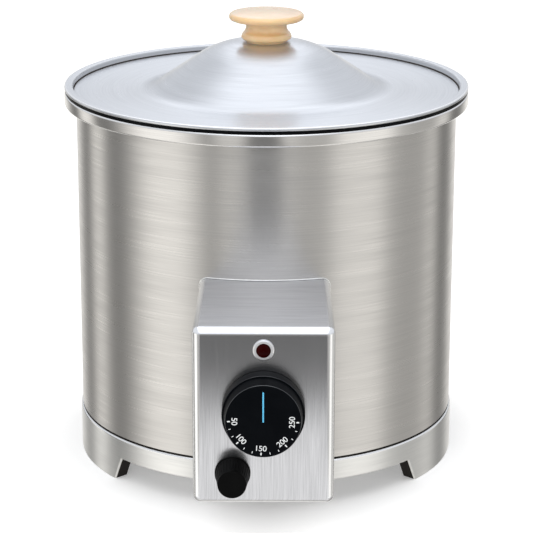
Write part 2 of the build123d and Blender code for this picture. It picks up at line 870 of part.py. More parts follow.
# Fuse holder: body nutted into the panel, cap and fuse that come out together
def make_fuse_holder():
    body = disc(fuse_flange_radius, 0, fuse_flange_depth)
    body = fillet(body.edges().sort_by(Axis.Z)[-1], fuse_flange_depth * 0.25)
    body = body + disc(fuse_barrel_radius, -fuse_barrel_length, 0)
    end = -fuse_barrel_length
    body = body - disc(fuse_bore, end + fuse_end_wall, fuse_flange_depth + 1)
    half = fuse_tail_width / 2
    for side in (-1, 1):
        faces = sorted((side * fuse_tail_inner, side * (fuse_tail_inner + fuse_tail_thickness)))
        body = body + block(faces, (-half, half), (end - fuse_tail_length, end))
    return front_at(-fuse_offset, fuse_height) * body


def make_fuse_holder_nut():
    bore = fuse_barrel_radius + thread_play
    nut = hex_bar(fuse_nut_flats, -box_wall - fuse_nut_height, -box_wall, bore)
    return front_at(-fuse_offset, fuse_height) * nut


def cap_grooves(base):
    """Shallow grooves along the cap's cone, which leave the grip ribs between them."""
    length = fuse_cap_depth - base
    narrowing = (fuse_cap_foot - fuse_cap_radius) / length
    out = fuse_rib_radius - fuse_rib_depth
    low = (fuse_cap_foot - narrowing * fuse_rib_margin + out, 0, base + fuse_rib_margin)
    high = (fuse_cap_radius + narrowing * fuse_rib_margin + out, 0, fuse_cap_depth - fuse_rib_margin)
    line = Line(low, high)
    groove = sweep(Plane(origin=low, z_dir=line % 0) * Circle(fuse_rib_radius), path=line)
    return around(groove, fuse_rib_count)


def make_fuse_cap():
    base = fuse_flange_depth + fuse_seat_gap
    length = fuse_cap_depth - base
    cap = Pos(0, 0, base + length / 2) * Cone(fuse_cap_foot, fuse_cap_radius, length)
    cap = fillet(cap.edges().sort_by(Axis.Z)[-1], fuse_cap_edge)
    cap = cap - cap_grooves(base)
    cap = cap + disc(fuse_stem_radius, base - fuse_stem_length, base)
    cap = cap - disc(cartridge_radius + play, base - fuse_stem_length - 1, base + play)
    return front_at(-fuse_offset, fuse_height) * cap


def make_fuse_cartridge():
    front = fuse_flange_depth + fuse_seat_gap
    return front_at(-fuse_offset, fuse_height) * disc(cartridge_radius, front - cartridge_length, front)


# Cable gland low on the back of the shell, made for a round mains lead
def make_gland_washer():
    inner = shell_radius - gland_washer_radius / 2
    washer = disc(gland_washer_radius, inner, gland_face, gland_thread_radius + close_play)
    return rear_at(gland_height) * washer - disc(shell_radius + thread_play, 0, rim_top)


def gland_nut_face():
    inner = shell_radius - shell_wall
    return sqrt(inner**2 - (gland_flats / sqrt(3)) ** 2) - thread_play


def make_gland_body():
    hex_top = gland_face + gland_hex_height
    inner_end = gland_nut_face() - gland_locknut_height - stud_end
    body = hex_bar(gland_flats, gland_face, hex_top)
    body = body + disc(gland_thread_radius, inner_end, gland_face)
    collar = gland_thread_radius - gland_collar_recess
    body = body + disc(collar, hex_top, hex_top + gland_collar_height)
    pocket = lead_bore + gland_seal_wall + close_play
    body = body - disc(pocket, hex_top - gland_seal_depth, hex_top + gland_collar_height + 1)
    body = body - disc(lead_bore + gland_seal_wall / 2, inner_end - 1, hex_top)
    return rear_at(gland_height) * body


def make_gland_seal():
    low = gland_face + gland_hex_height - gland_seal_depth + close_play
    seal = disc(lead_bore + gland_seal_wall, low, low + gland_seal_length, lead_bore)
    return rear_at(gland_height) * seal


def make_gland_cap_nut():
    low = gland_face + gland_hex_height + close_play
    top = gland_reach
    nut = hex_bar(gland_flats, low, top)
    round_form = turned(
        [
            Line((0, top), (gland_cap_mouth + 1.5, top)),
            ThreePointArc(
                (gland_cap_mouth + 1.5, top),
                (gland_flats * 0.46, top - gland_cap_height * 0.3),
                (gland_flats * 0.58, low + gland_cap_height * 0.3),
            ),
            Polyline(
                (gland_flats * 0.58, low + gland_cap_height * 0.3),
                (gland_flats * 0.58, low),
                (0, low),
                (0, top),
            ),
        ]
    )
    nut = nut & round_form
    bore = gland_thread_radius - gland_collar_recess + thread_play
    seal_end = low + gland_seal_length - gland_seal_depth
    nut = nut - disc(bore, low - 1, max(seal_end, low + gland_collar_height) + gland_cap_space)
    return rear_at(gland_height) * (nut - disc(gland_cap_mouth, low, top + 1))


def make_gland_locknut():
    face = gland_nut_face()
    nut = hex_bar(gland_flats, face - gland_locknut_height, face, gland_thread_radius + thread_play)
    return rear_at(gland_height) * nut


# Lid: spun disc with a coned dome, a step that drops inside the collar, and a
# folded bead round its edge that rests on the seal
def make_lid():
    slope = tan(radians(dome_slope))
    half_turn = tan(radians(dome_slope / 2))
    shoulder = dome_flat + dome_top_bend * half_turn
    foot = shoulder + dome_height / slope
    points = [
        (0, dome_top),
        (shoulder, dome_top),
        (foot, plate_top),
        (step_inner, plate_top),
        (step_inner, bead_top),
        (collar_radius, bead_top),
        (collar_radius, seal_top),
        (collar_radius - bead_tuck, seal_top),
    ]
    bends = [dome_top_bend, dome_foot_bend, lid_wall, bead_bend, bead_bend, bead_bend]
    lid = spun_sheet(points, bends, lid_wall)
    return lid - disc(knob_screw_radius + play, plate_top, dome_top + 1)


# Knob: moulded piece with a spreading foot, a waist and a rounded disc
def make_lid_knob():
    foot = knob_foot
    foot_round = knob_foot_height * 0.4
    neck = foot + knob_foot_height
    under = foot + knob_underside
    top = foot + knob_height
    middle = (under + top - knob_crown) / 2
    shoulder = knob_disc_radius - (top - knob_crown - under) / 2
    outline = [
        Line((0, foot), (knob_foot_radius - foot_round, foot)),
        ThreePointArc(
            (knob_foot_radius - foot_round, foot),
            (knob_foot_radius - foot_round * 0.2929, foot + foot_round * 0.2929),
            (knob_foot_radius, foot + foot_round),
        ),
        ThreePointArc(
            (knob_foot_radius, foot + foot_round),
            (knob_foot_radius - 0.5, foot + foot_round * 1.7),
            (knob_waist_radius + knob_flare_low, neck),
        ),
        ThreePointArc(
            (knob_waist_radius + knob_flare_low, neck),
            (knob_waist_radius, (neck + under) / 2 + 0.5),
            (knob_waist_radius + knob_flare_high, under - 0.4),
        ),
        Line((knob_waist_radius + knob_flare_high, under - 0.4), (shoulder - 1, under)),
        ThreePointArc(
            (shoulder - 1, under),
            (knob_disc_radius, middle),
            (shoulder, top - knob_crown),
        ),
        crown_arc(shoulder, top - knob_crown, knob_crown),
        Line((0, top), (0, foot)),
    ]
    knob = turned(outline) + disc(knob_boss_radius, dome_top, foot)
    pocket = knob_screw_radius + insert_wall + thread_play
    return knob - disc(pocket, dome_top - 1, dome_top + knob_screw_hold + play)


def make_knob_insert():
    top = dome_top + knob_screw_hold
    return disc(knob_screw_radius + insert_wall, dome_top, top, knob_screw_radius + thread_play)


def make_knob_washer():
    under = dome_top - lid_wall
    return disc(knob_washer_radius, under - knob_washer_thickness, under, knob_screw_radius + play)


def make_knob_screw():
    seat = dome_top - lid_wall - knob_washer_thickness
    length = dome_top + knob_screw_hold - 1 - seat
    return Pos(0, 0, seat) * Rot(180, 0, 0) * pan_screw(knob_screw_radius, length)


save("inner_pot", make_inner_pot())
save("rim_collar", make_rim_collar())
save("rim_seal", make_rim_seal())
save("outer_shell", make_outer_shell())
save("pot_studs", make_pot_studs())
save("base_ring", make_base_ring())
save("bottom_cover", make_bottom_cover())
save("base_washers", make_base_washers())
save("base_nuts", make_base_nuts())
save("insulation_slab", make_insulation_slab())
save("insulation_blanket", make_insulation_blanket())
save("heater_band", make_heater_band())
save("heater_clamp_bolts", make_clamp_bolts())
save("heater_terminals", make_heater_terminals())
save("control_box", make_control_box())
save("box_brackets", make_box_brackets())
save("box_screws", make_box_screws())
save("wire_grommet", make_wire_grommet())
save("terminal_block", make_terminal_block())
save("block_screw", make_block_screw())
save("earth_stud", make_earth_stud())
save("earth_nut", make_earth_nut())
save("lamp_bezel", make_lamp_bezel())
save("lamp_lens", make_lamp_lens())
save("lamp_body", make_lamp_body())
save("lamp_nut", make_lamp_nut())
save("lamp_leads", make_lamp_leads())
save("thermostat_body", make_thermostat_body())
save("thermostat_screws", make_thermostat_screws())
save("thermostat_spindle", make_thermostat_spindle())
save("dial_knob", make_dial_knob())
save("sensor_bulb", make_sensor_bulb())
save("bulb_clip", make_bulb_clip())
save("capillary_tube", make_capillary_tube())
save("heater_leads", make_heater_leads())
save("fuse_holder", make_fuse_holder())
save("fuse_holder_nut", make_fuse_holder_nut())
save("fuse_cap", make_fuse_cap())
save("fuse_cartridge", make_fuse_cartridge())
save("gland_washer", make_gland_washer())
save("gland_body", make_gland_body())
save("gland_seal", make_gland_seal())
save("gland_cap_nut", make_gland_cap_nut())
save("gland_locknut", make_gland_locknut())
save("lid", make_lid())
save("lid_knob", make_lid_knob())
save("lid_knob_insert", make_knob_insert())
save("lid_knob_washer", make_knob_washer())
save("lid_knob_screw", make_knob_screw())
print(f"origin lies {frame_shift:.3f} mm in front of the pot's axis")
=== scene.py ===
import math

import bmesh
import bpy
from mathutils import Euler, Matrix, Vector


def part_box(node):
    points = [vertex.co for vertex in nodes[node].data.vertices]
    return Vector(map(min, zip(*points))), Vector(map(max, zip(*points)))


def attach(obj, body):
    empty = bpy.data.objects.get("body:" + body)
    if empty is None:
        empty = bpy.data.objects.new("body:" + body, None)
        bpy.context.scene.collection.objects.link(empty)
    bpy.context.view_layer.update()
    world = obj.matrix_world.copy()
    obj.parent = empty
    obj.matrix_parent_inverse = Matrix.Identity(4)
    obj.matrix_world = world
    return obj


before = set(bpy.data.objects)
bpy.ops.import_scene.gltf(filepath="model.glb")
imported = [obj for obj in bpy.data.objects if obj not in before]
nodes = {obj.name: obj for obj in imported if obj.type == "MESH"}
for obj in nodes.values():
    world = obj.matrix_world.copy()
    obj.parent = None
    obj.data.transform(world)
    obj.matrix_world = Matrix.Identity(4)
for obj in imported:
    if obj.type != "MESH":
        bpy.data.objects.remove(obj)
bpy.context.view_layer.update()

scene = bpy.context.scene
MM = 0.001


# The camera stands a metre and a half in front of the pot and looks a little down
# at it through a long lens, so that the pot's sides stay nearly upright.
camera_place = Vector((9.98, -1449.5, 583.8)) * MM
camera_tilt = math.radians(16.987)       # down from level
camera_turn = math.radians(0.372)        # to the left
camera_roll = math.radians(0.088)        # the picture's uprights lean by this much
camera_data = bpy.data.cameras.new("camera")
camera_data.sensor_width = 36.0
camera_data.lens = 150.56
camera = bpy.data.objects.new("camera", camera_data)
camera.location = camera_place
level_view = Euler((math.pi / 2 - camera_tilt, 0, camera_turn)).to_matrix()
camera.rotation_euler = (level_view @ Matrix.Rotation(camera_roll, 3, "Z")).to_euler()
scene.collection.objects.link(camera)
scene.camera = camera
scene.view_settings.view_transform = "Standard"


# The studio is a white room. Brushed metal mirrors its lit panels and the dimmer
# gaps between them as upright bands, and the bright ceiling in everything that
# faces up. What isn't mirrored gets an even light from all round.
def to_linear(code):
    """Colour for a shader's socket from an sRGB hex code."""
    parts = [int(code[i:i + 2], 16) / 255 for i in (1, 3, 5)]
    return [c / 12.92 if c <= 0.04045 else ((c + 0.055) / 1.055) ** 2.4 for c in parts] + [1.0]


def add(tree, kind, settings={}, links={}):
    """Adds a shader node with its settings and links. A link comes from a socket, or from the
    first output of a node."""
    made = tree.nodes.new(kind)
    for key, value in settings.items():
        if isinstance(key, str) and hasattr(made, key):
            setattr(made, key, value)
        else:
            made.inputs[key].default_value = value
    for key, source in links.items():
        tree.links.new(getattr(source, "outputs", [source])[0], made.inputs[key])
    return made


room_warm = "#FFFDF9"
room_level = 0.22                        # gaps between the panels
panels = [                               # degrees from the front, half width, softness, level
    (180, 30, 12, 0.80),
    (-122, 8, 6, 0.85),
    (-63, 22, 16, 1.07),
    (-20, 9, 6, 0.52),
    (13, 5, 5, 0.16),
    (28, 20, 6, 0.33),
    (62, 18, 12, 0.90),
    (98, 14, 6, 0.28),
    (119, 7, 6, 0.60),
]
ceiling_cool = "#F6F9FF"
ceiling_edge = (0.08, 0.26)              # heights over which the ceiling brightens
ceiling_levels = (0.68, 0.86)
ceiling_blend = 0.09                     # height over which the walls give way to it
front_ahead = (-0.1, 0.35)               # over this reach forward
front_rise = 0.03                        # the ceiling begins this much higher
strips = [                               # place and half width on a ceiling one high,
    (0.0, 0.50, 0.12, 0.20, 0.66),       # softness, height where it begins, level
    (0.84, 0.12, 0.10, 0.30, 0.14),
]
strip_fade = 0.16
strip_low = 0.05                         # nearer the horizon than this they widen no more
even_light = 0.56

world = bpy.data.worlds.new("white_room")
scene.world = world
world.use_nodes = True
tree = world.node_tree
tree.nodes.clear()
looking = add(tree, "ShaderNodeTexCoord").outputs["Generated"]
part = add(tree, "ShaderNodeSeparateXYZ", links={0: looking})
ahead = add(tree, "ShaderNodeMath", {"operation": "MULTIPLY", 1: -1.0}, {0: part.outputs["Y"]})
azimuth = add(tree, "ShaderNodeMath", {"operation": "ARCTAN2"}, {0: part.outputs["X"], 1: ahead})
glows = []
for middle, half, soft, level in panels:
    turn = add(tree, "ShaderNodeMath", {
        "operation": "SUBTRACT", 1: math.radians(middle),
    }, {0: azimuth})
    turn = add(tree, "ShaderNodeMath", {"operation": "WRAP", 1: math.pi, 2: -math.pi}, {0: turn})
    turn = add(tree, "ShaderNodeMath", {"operation": "ABSOLUTE"}, {0: turn})
    glows.append(add(tree, "ShaderNodeMapRange", {
        "interpolation_type": "SMOOTHSTEP",
        "From Min": math.radians(half - soft), "From Max": math.radians(half + soft),
        "To Min": level, "To Max": 0.0,
    }, {"Value": turn}))
walls = glows[0]
for glow in glows[1:]:
    walls = add(tree, "ShaderNodeMath", {"operation": "ADD"}, {0: walls, 1: glow})
walls = add(tree, "ShaderNodeMath", {"operation": "ADD", 1: room_level}, {0: walls})
front_side = add(tree, "ShaderNodeMapRange", {
    "interpolation_type": "SMOOTHSTEP", "From Min": front_ahead[0], "From Max": front_ahead[1],
    "To Min": 0.0, "To Max": front_rise,
}, {"Value": ahead})
height = add(tree, "ShaderNodeMath", {"operation": "SUBTRACT"}, {
    0: part.outputs["Z"], 1: front_side,
})
ceiling = add(tree, "ShaderNodeMapRange", {
    "interpolation_type": "SMOOTHSTEP", "From Min": ceiling_edge[0], "From Max": ceiling_edge[1],
    "To Min": ceiling_levels[0], "To Max": ceiling_levels[1],
}, {"Value": height})
over = add(tree, "ShaderNodeMath", {"operation": "MAXIMUM", 1: strip_low}, {0: part.outputs["Z"]})
aside = add(tree, "ShaderNodeMath", {"operation": "DIVIDE"}, {0: part.outputs["X"], 1: over})
for middle, half, soft, start, level in strips:
    off = add(tree, "ShaderNodeMath", {"operation": "SUBTRACT", 1: middle}, {0: aside})
    off = add(tree, "ShaderNodeMath", {"operation": "ABSOLUTE"}, {0: off})
    strip = add(tree, "ShaderNodeMapRange", {
        "interpolation_type": "SMOOTHSTEP", "From Min": half - soft, "From Max": half + soft,
        "To Min": level, "To Max": 0.0,
    }, {"Value": off})
    begun = add(tree, "ShaderNodeMapRange", {
        "interpolation_type": "SMOOTHSTEP", "From Min": start, "From Max": start + strip_fade,
    }, {"Value": height})
    ceiling = add(tree, "ShaderNodeMath", {"operation": "MULTIPLY_ADD"}, {
        0: strip, 1: begun, 2: ceiling,
    })
above = add(tree, "ShaderNodeMapRange", {
    "interpolation_type": "SMOOTHSTEP", "From Min": 0.0, "From Max": ceiling_blend,
}, {"Value": height})
walls = add(tree, "ShaderNodeBackground", {"Color": to_linear(room_warm)}, {"Strength": walls})
ceiling = add(tree, "ShaderNodeBackground", {"Color": to_linear(ceiling_cool)}, {
    "Strength": ceiling,
})
mirrored = add(tree, "ShaderNodeMixShader", links={0: above, 1: walls, 2: ceiling})
ray = add(tree, "ShaderNodeLightPath")
seen_through = add(tree, "ShaderNodeMath", {"operation": "MAXIMUM"}, {
    0: ray.outputs["Is Camera Ray"], 1: ray.outputs["Is Transmission Ray"],
})
plain = add(tree, "ShaderNodeBackground", {"Color": to_linear("#FFFFFF"), "Strength": even_light})
white = add(tree, "ShaderNodeBackground", {"Color": to_linear("#FFFFFF"), "Strength": 1.0})
lit = add(tree, "ShaderNodeMixShader", links={0: seen_through, 1: plain, 2: white})
lit = add(tree, "ShaderNodeMixShader", links={
    0: ray.outputs["Is Glossy Ray"], 1: lit, 2: mirrored,
})
add(tree, "ShaderNodeOutputWorld", links={"Surface": lit})


# Three wide, soft lamps give the shapes a little more light from the front left
# than from the right. The metal mirrors the room's panels instead of them. They
# are turned to the pot's own upright axis, which is that of its round shell.
shell_low, shell_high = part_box("outer_shell")
axis_y = (shell_low.y + shell_high.y) / 2
lamp_target = Vector((0, axis_y, 0.15))
for name, place, size, watts in (
    ("key_lamp", (-0.5, -0.6, 1.5), 1.2, 6.0),
    ("fill_lamp", (0.7, -0.2, 1.5), 1.2, 4.4),
    ("front_lamp", (-0.3, -1.6, 0.55), 0.8, 6.5),
):
    data = bpy.data.lights.new(name, "AREA")
    data.size = size
    data.energy = watts
    lamp = bpy.data.objects.new(name, data)
    lamp.location = place
    lamp.rotation_euler = (lamp_target - Vector(place)).to_track_quat("-Z", "Y").to_euler()
    lamp.visible_glossy = False
    scene.collection.objects.link(lamp)


# The floor is matt white paper. It takes the soft shadow under the pot; a painted glow, seen only
# by the camera, lifts it to plain white away from the pot. Metal that stands on it mirrors the room
# instead.
def blank_material(name):
    """A new material without nodes."""
    material = bpy.data.materials.new(name)
    material.use_nodes = True
    material.node_tree.nodes.clear()
    return material


def lay_sheet(name, half, front, back, height, material):
    """A flat sheet that lies in the studio, as far to the left of the pot as to the right."""
    mesh = bpy.data.meshes.new(name)
    corners = ((-half, front), (half, front), (half, back), (-half, back))
    mesh.from_pydata([(x, y, height) for x, y in corners], [], [(0, 1, 2, 3)])
    mesh.materials.append(material)
    sheet = bpy.data.objects.new(name, mesh)
    scene.collection.objects.link(sheet)
    return sheet


floor_reach = 6.0
painted_glow_reach = (0.12, 0.21)                # distances from the pot's axis
painted_glow_levels = (0.18, 0.62)
paper = blank_material("matt_paper_painted_glow")
tree = paper.node_tree
place = add(tree, "ShaderNodeTexCoord").outputs["Object"]
place = add(tree, "ShaderNodeVectorMath", {"operation": "SUBTRACT", 1: (0, axis_y, 0)}, {0: place})
distance = add(tree, "ShaderNodeVectorMath", {"operation": "LENGTH"}, {0: place})
# Painted glow: the paper gives off light of itself, seen only by the camera, more the further it
# lies from the pot's axis.
glow = add(tree, "ShaderNodeMapRange", {
    "interpolation_type": "SMOOTHSTEP", "From Min": painted_glow_reach[0], "From Max": painted_glow_reach[1],
    "To Min": painted_glow_levels[0], "To Max": painted_glow_levels[1],
}, {"Value": distance.outputs["Value"]})
camera_ray = add(tree, "ShaderNodeLightPath").outputs["Is Camera Ray"]
glow = add(tree, "ShaderNodeMath", {"operation": "MULTIPLY"}, {0: camera_ray, 1: glow})
paper_lit = add(tree, "ShaderNodeBsdfDiffuse", {"Color": to_linear("#FBFBFB")})
paper_glow = add(tree, "ShaderNodeEmission", {"Color": to_linear("#FFFFFF")}, {"Strength": glow})
paper_seen = add(tree, "ShaderNodeAddShader", links={0: paper_lit, 1: paper_glow})
add(tree, "ShaderNodeOutputMaterial", links={"Surface": paper_seen})
floor = lay_sheet("floor", floor_reach, -floor_reach, floor_reach, 0, paper)
floor.visible_glossy = False


# A card lies on the floor in front of the control box, white near the box and dark
# further out. Only mirroring surfaces see it: it makes the lower half of the box's
# front bright and the upper half dim, with the dim band up the middle of the shell.
card_near = -0.19
card_far = -1.30
card_half = 0.16
card_height = 1 * MM
card_sides = (0.095, 0.15)               # it fades out between these, on both sides
card_end = (0.02, 0.20)                  # and between these distances from its far end
card_grade = (-0.545, -0.385)            # dark beyond the first, full from the second
card_dark = 0.15
card_paint = blank_material("graded_card")
tree = card_paint.node_tree
part = add(tree, "ShaderNodeSeparateXYZ", links={
    0: add(tree, "ShaderNodeTexCoord").outputs["Object"],
})
beside = add(tree, "ShaderNodeMath", {"operation": "ABSOLUTE"}, {0: part.outputs["X"]})
beside = add(tree, "ShaderNodeMapRange", {
    "interpolation_type": "SMOOTHSTEP", "From Min": card_sides[0], "From Max": card_sides[1],
    "To Min": 1.0, "To Max": 0.0,
}, {"Value": beside})
ended = add(tree, "ShaderNodeMapRange", {
    "interpolation_type": "SMOOTHSTEP",
    "From Min": card_far + card_end[0], "From Max": card_far + card_end[1],
}, {"Value": part.outputs["Y"]})
share = add(tree, "ShaderNodeMath", {"operation": "MULTIPLY"}, {0: beside, 1: ended})
graded = add(tree, "ShaderNodeMapRange", {
    "interpolation_type": "SMOOTHSTEP", "From Min": card_grade[0], "From Max": card_grade[1],
    "To Min": card_dark, "To Max": 1.0,
}, {"Value": part.outputs["Y"]})
card_glow = add(tree, "ShaderNodeEmission", {"Color": to_linear("#FFFFFF")}, {"Strength": graded})
clear = add(tree, "ShaderNodeBsdfTransparent")
card_seen = add(tree, "ShaderNodeMixShader", links={0: share, 1: clear, 2: card_glow})
add(tree, "ShaderNodeOutputMaterial", links={"Surface": card_seen})
card = lay_sheet("floor_card", card_half, card_far, card_near, card_height, card_paint)
card.visible_camera = False
card.visible_diffuse = False
card.visible_transmission = False
card.visible_shadow = False


# Outer shell: stainless steel sheet 1 mm thick, rolled round and seam-welded at the
# back. It was brushed round the pot with a belt of about 180 grit.
shell_radius = (shell_high.x - shell_low.x) / 2
streak_stretch = (0.5, 0.12, 1.0)        # broad streaks are twice as long and 8 times as wide
streak_sums = (0.5, 1.1)                 # what both patterns add up to, from worn to bright
streak_share = 0.6                       # of the broad pattern beside the fine one
streak_gloss = 0.05
streak_depth = 0.05 * MM
painted_bend_highlight = "#F7F8F9"                   # bends facing up are painted nearly white, a painted highlight
lying_rougher = 0.22                     # and duller where it lies flat


def round_grain(tree, length, spacing):
    """Brushing round the pot's axis: its pattern, the direction across it, and no bends."""
    place = add(tree, "ShaderNodeTexCoord").outputs["Object"]
    place = add(tree, "ShaderNodeVectorMath", {
        "operation": "SUBTRACT", 1: (0, axis_y, 0),
    }, {0: place})
    part = add(tree, "ShaderNodeSeparateXYZ", links={0: place})
    ahead = add(tree, "ShaderNodeMath", {"operation": "MULTIPLY", 1: -1.0}, {0: part.outputs["Y"]})
    turn = add(tree, "ShaderNodeMath", {"operation": "ARCTAN2"}, {0: part.outputs["X"], 1: ahead})
    along = add(tree, "ShaderNodeMath", {
        "operation": "MULTIPLY", 1: shell_radius / length,
    }, {0: turn})
    level = add(tree, "ShaderNodeCombineXYZ", links={0: part.outputs["X"], 1: part.outputs["Y"]})
    radius = add(tree, "ShaderNodeVectorMath", {"operation": "LENGTH"}, {0: level})
    across = add(tree, "ShaderNodeMath", {"operation": "SUBTRACT"}, {
        0: radius.outputs["Value"], 1: part.outputs["Z"],
    })
    across = add(tree, "ShaderNodeMath", {"operation": "MULTIPLY", 1: 1 / spacing}, {0: across})
    grain = add(tree, "ShaderNodeCombineXYZ", links={0: along, 1: across})
    outward = add(tree, "ShaderNodeVectorMath", {"operation": "NORMALIZE"}, {0: level})
    cross = add(tree, "ShaderNodeVectorMath", {"operation": "ADD", 1: (0, 0, -1)}, {0: outward})
    return grain, cross, None, None


def brushed(
    name, code, worn_code, pattern=round_grain, spacing=0.9, length=60.0, rough=0.30, spread=0.8,
):
    """Brushed metal, a little darker and rougher where it is worn. The spacing and the length of
    its lines are in millimetres, and they spread each reflection across themselves."""
    # Real lines lie some 0.1 mm apart, too fine to show, so they are drawn 6 to 16 times as coarse.
    material = blank_material(name)
    tree = material.node_tree
    grain, cross, bend, lying = pattern(tree, length * MM, spacing * MM)
    fine = add(tree, "ShaderNodeTexNoise", {"Scale": 1.0, "Detail": 3.0, "Roughness": 0.6}, {
        "Vector": grain,
    })
    broad = add(tree, "ShaderNodeVectorMath", {
        "operation": "MULTIPLY", 1: streak_stretch,
    }, {0: grain})
    broad = add(tree, "ShaderNodeTexNoise", {"Scale": 1.0, "Detail": 2.0}, {"Vector": broad})
    scratches = add(tree, "ShaderNodeMath", {"operation": "MULTIPLY_ADD", 1: streak_share}, {
        0: broad, 2: fine,
    })
    tone = add(tree, "ShaderNodeMapRange", {
        "From Min": streak_sums[0], "From Max": streak_sums[1],
    }, {"Value": scratches})
    colours = add(tree, "ShaderNodeMix", {
        "data_type": "RGBA", 6: to_linear(worn_code), 7: to_linear(code),
    }, {0: tone})
    gloss = add(tree, "ShaderNodeMapRange", {
        "From Min": streak_sums[0], "From Max": streak_sums[1],
        "To Min": rough + streak_gloss, "To Max": rough - streak_gloss,
    }, {"Value": scratches})
    # Painted highlight: the bends that face up are painted nearly white, as if they mirrored the
    # bright ceiling.
    if bend:
        colours = add(tree, "ShaderNodeMix", {"data_type": "RGBA", 7: to_linear(painted_bend_highlight)}, {
            0: bend, 6: colours.outputs[2],
        })
        gloss = add(tree, "ShaderNodeMath", {"operation": "MULTIPLY_ADD", 1: lying_rougher}, {
            0: lying, 2: gloss,
        })
    bump = add(tree, "ShaderNodeBump", {"Strength": 0.12, "Distance": streak_depth}, {
        "Height": fine,
    })
    shader = add(tree, "ShaderNodeBsdfPrincipled", {"Metallic": 1.0, "Anisotropic": spread}, {
        "Base Color": colours.outputs[2], "Roughness": gloss, "Normal": bump, "Tangent": cross,
    })
    add(tree, "ShaderNodeOutputMaterial", links={"Surface": shader})
    return material


def finish(material, *names):
    """Gives CAD nodes their real finish."""
    for name in names:
        for place in nodes[name].material_slots:
            place.material = material


# Fine level lines, and every lit panel drawn out into a soft upright band.
shell_steel = brushed("brushed_stainless_shell", "#D6D4D1", "#C6C4C1")
finish(shell_steel, "outer_shell")


# Shell seam: the weld bead where the rolled sheet's ends meet at the back, ground
# nearly flush by hand and left duller than the brushed sheet around it.
def new_piece(name, form, materials, body):
    """Makes a visible piece from a finished mesh form, on a body and in a slot."""
    mesh = bpy.data.meshes.new(name)
    form.to_mesh(mesh)
    form.free()
    for material in materials:
        mesh.materials.append(material)
    piece = bpy.data.objects.new(name, mesh)
    scene.collection.objects.link(piece)
    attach(piece, body)


seam_width = 3.0 * MM
seam_waver = 0.08                        # share of the width that the grinding left uneven
seam_rise = 0.08 * MM
seam_sink = 0.02 * MM                    # its edges lie this far inside the sheet
seam_gap = 0.6 * MM
seam_section = (-1.0, -0.6, 0.0, 0.6, 1.0)    # shares of its half width
seam_steps = 48
seam_beat = 2.1                          # turn of its waver from one step to the next
collar_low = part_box("rim_collar")[0].z
seam_form = bmesh.new()
seam_rows = []
for i in range(seam_steps + 1):
    height = shell_low.z + seam_gap + (collar_low - shell_low.z - 2 * seam_gap) * i / seam_steps
    half = seam_width / 2 * (1 + seam_waver * math.sin(i * seam_beat))
    row = []
    for share in seam_section:
        x = half * share
        out = math.sqrt(shell_radius ** 2 - x ** 2) + seam_rise * (1 - share ** 2) - seam_sink
        row.append(seam_form.verts.new((x, axis_y + out, height)))
    seam_rows.append(row)
for low_row, high_row in zip(seam_rows, seam_rows[1:]):
    for i in range(len(seam_section) - 1):
        corners = (low_row[i + 1], low_row[i], high_row[i], high_row[i + 1])
        seam_form.faces.new(corners).smooth = True
# Short, close grinding marks that catch less light than the belt's long ones.
weld_steel = brushed(
    "ground_weld_steel", "#C4C2BE", "#A8A6A2", spacing=0.6, length=6, rough=0.38, spread=0.3,
)
new_piece("shell_seam", seam_form, [weld_steel], "pot")


# Rim collar: a rolled stainless channel that grips the pot's flange and hides the top of the shell.
# It is brushed the same way round, and its bends carry a painted highlight: a skin of metal painted
# nearly white, which stands off them by a hair.
rim_skin = 0.02 * MM
rim_bend = 1.6 * MM
foot_turns = (-100, 0)                   # how far round each bend the skin goes, above level
crown_turns = (0, 88)
bend_steps = 16
brushed_steps = 4                        # the part of each bend that is brushed as the wall is
bright_steps = bend_steps - brushed_steps
collar_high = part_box("rim_collar")[1].z
collar_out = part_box("rim_collar")[1].x


def bend_points(out, middle, bend, turns, steps):
    """Profile of the skin on a bend, as radius and height. Out is the radius of the metal's
    outermost point, middle the height of the bend's centre."""
    reach = bend + rim_skin
    first, last = turns
    angles = [math.radians(first + (last - first) * i / steps) for i in range(steps + 1)]
    return [(out - bend + reach * math.cos(t), middle + reach * math.sin(t)) for t in angles]


def spun_skin(name, profile, materials, body, chosen=None, steps=720):
    """An open skin turned round the pot's axis from a profile of radius and height. Chosen
    gives the number of the material for each stretch of the profile, else it is the first."""
    form = bmesh.new()
    rows = []
    for i in range(steps):
        turn = 2 * math.pi * i / steps
        rows.append([
            form.verts.new((radius * math.sin(turn), axis_y - radius * math.cos(turn), height))
            for radius, height in profile
        ])
    for row, after in zip(rows, rows[1:] + rows[:1]):
        for j in range(len(profile) - 1):
            face = form.faces.new((row[j], after[j], after[j + 1], row[j + 1]))
            face.smooth = True
            face.material_index = chosen[j] if chosen else 0
    new_piece(name, form, materials, body)


# A touch brighter and sharper than the shell, with clear bands.
collar_steel = brushed("brushed_stainless_rim", "#E4E3E1", "#D6D4D2", rough=0.21)
finish(collar_steel, "rim_collar")
# Painted highlight: metal painted nearly white, so that each bend shows as one bright line.
highlight_edge_steel = brushed(
    "painted_highlight_rim_edge", "#F6F6F6", "#ECECEB", spacing=0.6, length=80, rough=0.22, spread=0.5,
)
spun_skin(
    "collar_skin",
    bend_points(collar_out, collar_low + rim_bend, rim_bend, foot_turns, bend_steps)
    + bend_points(collar_out, collar_high - rim_bend, rim_bend, crown_turns, bend_steps),
    (collar_steel, highlight_edge_steel), "pot",
    [1] * bright_steps + [0] * (2 * brushed_steps + 1) + [1] * bright_steps,
)


# Rim seal: a flat ring of moulded black silicone that lies on the collar, smooth,
# with a faint bloom of dust and finger marks that breaks up its shine.
cloud_tones = (0.35, 0.65)               # what part of the pattern runs from tone to tone
cloud_gloss = (0.3, 0.7)
mould_depth = 0.02 * MM


